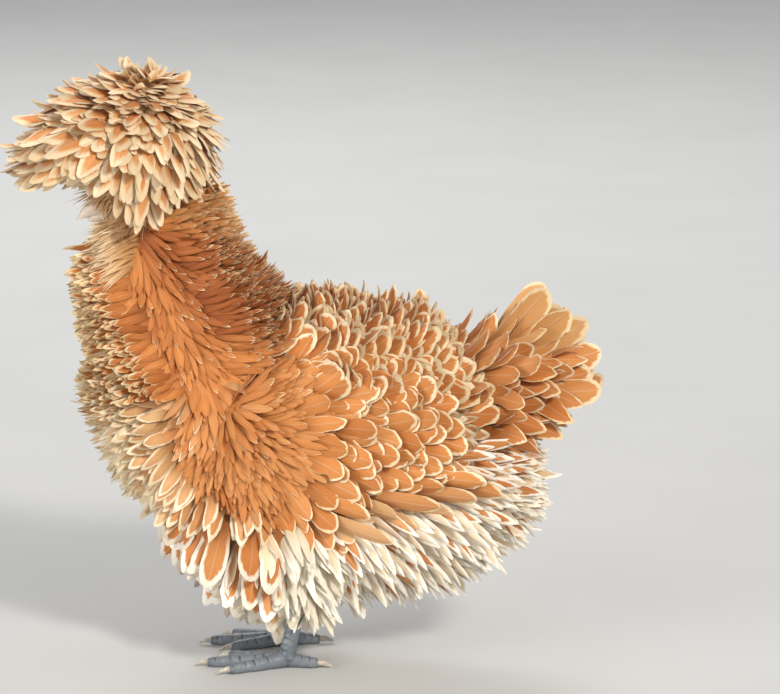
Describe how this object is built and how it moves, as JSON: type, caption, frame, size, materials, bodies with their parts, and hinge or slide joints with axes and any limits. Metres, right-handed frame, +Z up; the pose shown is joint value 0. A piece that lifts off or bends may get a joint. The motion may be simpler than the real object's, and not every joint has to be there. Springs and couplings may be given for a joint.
{
  "type": "padovana hen, frizzled",
  "caption": "Life-size still model of a standing frizzled Padovana hen with a full globe crest, curled laced feathers and bare legs.",
  "frame": {"origin": "middle of the bounding box at floor level, where the feet stand", "axes": "+Z up, the hen faces -X, her left side is at -Y"},
  "size_m": [0.401, 0.1472, 0.4024],
  "materials": {
    "crest_feathers": "matte buff feather with straw-cream lacing",
    "body_feathers": "matte orange-tan feather with cream lacing",
    "hackle_feathers": "matte deep orange-brown feather with cream tips",
    "fluff": "soft cream-white down",
    "face_skin": "fine wrinkled bare skin",
    "beak_horn": "satin pale horn",
    "iris": "wet, glossy orange-red eye",
    "shank_scale": "satin slate-blue scales",
    "claw_horn": "satin horn"
  },
  "bodies": {
    "root": {"torso": "body_feathers", "neck": "hackle_feathers", "head": "face_skin", "crest": "crest_feathers", "beak_upper": "beak_horn", "beak_lower": "beak_horn", "eye_left": "iris", "eye_right": "iris", "wing_left": "body_feathers", "wing_right": "body_feathers", "tail": "body_feathers", "thigh_left": "fluff", "thigh_right": "fluff", "shank_left": "shank_scale", "shank_right": "shank_scale", "foot_left": "shank_scale", "foot_right": "shank_scale", "claw_left_inner": "claw_horn", "claw_left_middle": "claw_horn", "claw_left_outer": "claw_horn", "claw_left_hind": "claw_horn", "claw_right_inner": "claw_horn", "claw_right_middle": "claw_horn", "claw_right_outer": "claw_horn", "claw_right_hind": "claw_horn"}
  },
  "joints": []
}
